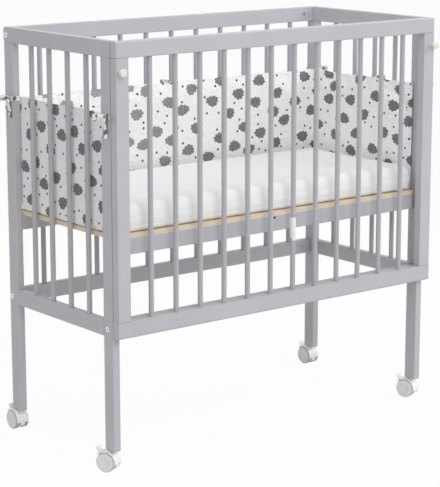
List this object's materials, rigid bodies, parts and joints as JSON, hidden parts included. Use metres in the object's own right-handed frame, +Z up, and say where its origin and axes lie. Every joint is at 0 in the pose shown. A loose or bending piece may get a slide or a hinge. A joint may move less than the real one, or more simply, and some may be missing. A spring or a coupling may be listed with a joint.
{
  "type": "bedside sleeper crib",
  "caption": "Slatted timber bedside crib on braked twin-wheel casters, with a raised bed board, foam mattress, tied padded bumper and a lift-off slatted front barrier held by two knobs.",
  "frame": {"origin": "on the floor, under the middle of the crib's outline", "axes": "+X along the crib to its right end as seen from the barrier, +Y from the barrier to the back, +Z up"},
  "size_m": [0.9837, 0.4892, 0.961],
  "materials": {
    "painted_timber": "satin light grey paint",
    "birch_ply": "plain sanded ply",
    "beech": "plain",
    "knob_wood": "satin, pale",
    "plated_steel": "zinc plated",
    "brass": "satin",
    "socket_plastic": "matte",
    "caster_plastic": "semi gloss",
    "wheel_plastic": "matte",
    "mattress_cover": "soft knit cover",
    "bumper_cotton": "printed cotton",
    "tie_ribbon": "cotton ribbon",
    "tag_cloth": "plain cloth"
  },
  "bodies": {
    "frame": {"left_top_rail": "painted_timber", "right_top_rail": "painted_timber", "left_bottom_rail": "painted_timber", "right_bottom_rail": "painted_timber", "left_end_slats": "painted_timber", "right_end_slats": "painted_timber", "front_left_leg": "painted_timber", "front_right_leg": "painted_timber", "back_left_leg": "painted_timber", "back_right_leg": "painted_timber", "back_top_rail": "painted_timber", "back_bottom_rail": "painted_timber", "front_cross_rail": "painted_timber", "back_slats": "painted_timber", "front_bed_rail": "painted_timber", "back_bed_rail": "painted_timber", "bed_board": "birch_ply", "board_screws": "plated_steel", "frame_dowels": "beech", "connector_bolts": "plated_steel", "barrel_nuts": "plated_steel", "knob_inserts": "brass", "caster_sockets": "socket_plastic", "bumper": "bumper_cotton", "corner_ties": "tie_ribbon", "slat_ties": "tie_ribbon"},
    "barrier": {"barrier_top_rail": "painted_timber", "barrier_bottom_rail": "painted_timber", "barrier_left_stile": "painted_timber", "barrier_right_stile": "painted_timber", "barrier_slats": "painted_timber", "barrier_dowels": "beech", "barrier_locating_pins": "beech", "slat_tag": "tag_cloth"},
    "left_knob_body": {"left_knob": "knob_wood", "left_knob_stud": "plated_steel"},
    "right_knob_body": {"right_knob": "knob_wood", "right_knob_stud": "plated_steel"},
    "mattress_body": {"mattress": "mattress_cover"},
    "front_left_caster_swivel": {"front_left_caster_hood": "caster_plastic", "front_left_caster_stem": "plated_steel", "front_left_caster_axle": "plated_steel"},
    "front_left_caster_roller": {"front_left_caster_wheels": "wheel_plastic"},
    "front_left_caster_brake": {"front_left_caster_brake_lever": "caster_plastic"},
    "front_right_caster_swivel": {"front_right_caster_hood": "caster_plastic", "front_right_caster_stem": "plated_steel", "front_right_caster_axle": "plated_steel"},
    "front_right_caster_roller": {"front_right_caster_wheels": "wheel_plastic"},
    "front_right_caster_brake": {"front_right_caster_brake_lever": "caster_plastic"},
    "back_left_caster_swivel": {"back_left_caster_hood": "caster_plastic", "back_left_caster_stem": "plated_steel", "back_left_caster_axle": "plated_steel"},
    "back_left_caster_roller": {"back_left_caster_wheels": "wheel_plastic"},
    "back_left_caster_brake": {"back_left_caster_brake_lever": "caster_plastic"},
    "back_right_caster_swivel": {"back_right_caster_hood": "caster_plastic", "back_right_caster_stem": "plated_steel", "back_right_caster_axle": "plated_steel"},
    "back_right_caster_roller": {"back_right_caster_wheels": "wheel_plastic"},
    "back_right_caster_brake": {"back_right_caster_brake_lever": "caster_plastic"}
  },
  "joints": [
    {"name": "barrier_lift_off", "type": "slide", "parent": "frame", "child": "barrier", "axis": [0, -1, 0], "range_m": [0, 0.15]},
    {"name": "left_knob_turn", "type": "hinge", "parent": "barrier", "child": "left_knob_body", "pos_m": [-0.461, -0.23485, 0.896], "axis": [0, -1, 0], "continuous": true},
    {"name": "right_knob_turn", "type": "hinge", "parent": "barrier", "child": "right_knob_body", "pos_m": [0.461, -0.23485, 0.896], "axis": [0, -1, 0], "continuous": true},
    {"name": "mattress_lift", "type": "slide", "parent": "frame", "child": "mattress_body", "axis": [0, 0, 1], "range_m": [0, 0.45]},
    {"name": "front_left_caster_swivel_turn", "type": "hinge", "parent": "frame", "child": "front_left_caster_swivel", "pos_m": [-0.461, -0.18505, 0.049], "axis": [0, 0, 1], "continuous": true},
    {"name": "front_left_caster_roll", "type": "hinge", "parent": "front_left_caster_swivel", "child": "front_left_caster_roller", "pos_m": [-0.46645, -0.17436, 0.0225], "axis": [0.891, 0.454, 0], "continuous": true},
    {"name": "front_left_caster_brake_press", "type": "hinge", "parent": "front_left_caster_swivel", "child": "front_left_caster_brake", "pos_m": [-0.47483, -0.15791, 0.04096], "axis": [-0.891, -0.454, 0], "range_deg": [0, 25]},
    {"name": "front_right_caster_swivel_turn", "type": "hinge", "parent": "frame", "child": "front_right_caster_swivel", "pos_m": [0.461, -0.18505, 0.049], "axis": [0, 0, 1], "continuous": true},
    {"name": "front_right_caster_roll", "type": "hinge", "parent": "front_right_caster_swivel", "child": "front_right_caster_roller", "pos_m": [0.4569, -0.17377, 0.0225], "axis": [0.9397, 0.342, 0], "continuous": true},
    {"name": "front_right_caster_brake_press", "type": "hinge", "parent": "front_right_caster_swivel", "child": "front_right_caster_brake", "pos_m": [0.45058, -0.15643, 0.04096], "axis": [-0.9397, -0.342, 0], "range_deg": [0, 25]},
    {"name": "back_left_caster_swivel_turn", "type": "hinge", "parent": "frame", "child": "back_left_caster_swivel", "pos_m": [-0.461, 0.20395, 0.049], "axis": [0, 0, 1], "continuous": true},
    {"name": "back_left_caster_roll", "type": "hinge", "parent": "back_left_caster_swivel", "child": "back_left_caster_roller", "pos_m": [-0.461, 0.21595, 0.0225], "axis": [1, 0, 0], "continuous": true},
    {"name": "back_left_caster_brake_press", "type": "hinge", "parent": "back_left_caster_swivel", "child": "back_left_caster_brake", "pos_m": [-0.461, 0.23441, 0.04096], "axis": [-1, 0, 0], "range_deg": [0, 25]},
    {"name": "back_right_caster_swivel_turn", "type": "hinge", "parent": "frame", "child": "back_right_caster_swivel", "pos_m": [0.461, 0.20395, 0.049], "axis": [0, 0, 1], "continuous": true},
    {"name": "back_right_caster_roll", "type": "hinge", "parent": "back_right_caster_swivel", "child": "back_right_caster_roller", "pos_m": [0.461, 0.21595, 0.0225], "axis": [1, 0, 0], "continuous": true},
    {"name": "back_right_caster_brake_press", "type": "hinge", "parent": "back_right_caster_swivel", "child": "back_right_caster_brake", "pos_m": [0.461, 0.23441, 0.04096], "axis": [-1, 0, 0], "range_deg": [0, 25]}
  ]
}
